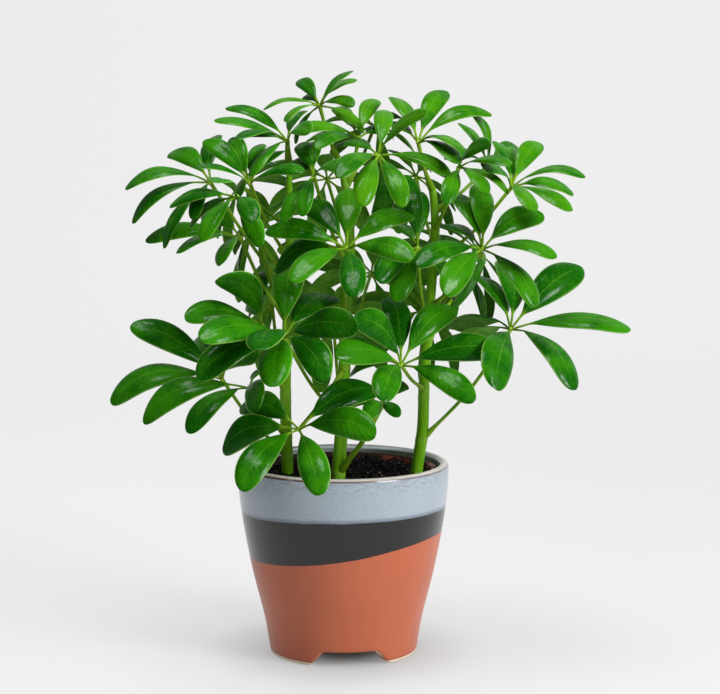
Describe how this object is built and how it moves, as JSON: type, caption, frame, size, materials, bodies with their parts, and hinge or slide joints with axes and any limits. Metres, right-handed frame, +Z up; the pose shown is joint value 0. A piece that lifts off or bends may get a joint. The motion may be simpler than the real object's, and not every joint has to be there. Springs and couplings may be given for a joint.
{
  "type": "potted umbrella plant",
  "caption": "Umbrella plant with palmate leaves on upright stems, growing in a nursery pot that stands in a banded glazed ceramic pot with low feet.",
  "frame": {"origin": "on the surface that the feet stand on, under the middle of the whole plant's box", "axes": "+Z up along the plant, -Y towards the front of the picture, +X to its right"},
  "size_m": [0.353, 0.2448, 0.4043],
  "materials": {
    "glaze": "satin glaze in three bands: speckled blue grey, charcoal and terracotta",
    "liner": "matt terracotta-coloured plastic",
    "soil": "damp dark potting soil",
    "stem": "smooth green bark, browner at the foot",
    "leaf": "waxy green leaf, glossy above and paler below"
  },
  "bodies": {
    "root": {"leaf_back_high_left": "leaf", "leaf_back_high_mid": "leaf", "leaf_back_high_right": "leaf", "leaf_back_left": "leaf", "leaf_back_low_left": "leaf", "leaf_back_low_mid": "leaf", "leaf_back_low_right": "leaf", "leaf_back_mid": "leaf", "leaf_back_mid_left": "leaf", "leaf_back_mid_right": "leaf", "leaf_back_right": "leaf", "leaf_back_top": "leaf", "leaf_far_right": "leaf", "leaf_front_left": "leaf", "leaf_front_low": "leaf", "leaf_front_mid": "leaf", "leaf_front_right": "leaf", "leaf_heart": "leaf", "leaf_inner_right": "leaf", "leaf_left_back": "leaf", "leaf_left_front": "leaf", "leaf_left_high": "leaf", "leaf_left_low": "leaf", "leaf_left_mid": "leaf", "leaf_low_inner": "leaf", "leaf_right_back": "leaf", "leaf_right_high": "leaf", "leaf_right_inner": "leaf", "leaf_right_mid": "leaf", "leaf_top_back": "leaf", "leaf_top_left": "leaf", "leaf_top_mid": "leaf", "leaf_top_right": "leaf", "leaf_top_tip": "leaf", "leaf_upper_left": "leaf", "leaf_upper_left_front": "leaf", "nursery_pot": "liner", "pot": "glaze", "soil": "soil", "stem_left": "stem", "stem_middle": "stem", "stem_right": "stem"}
  },
  "joints": []
}
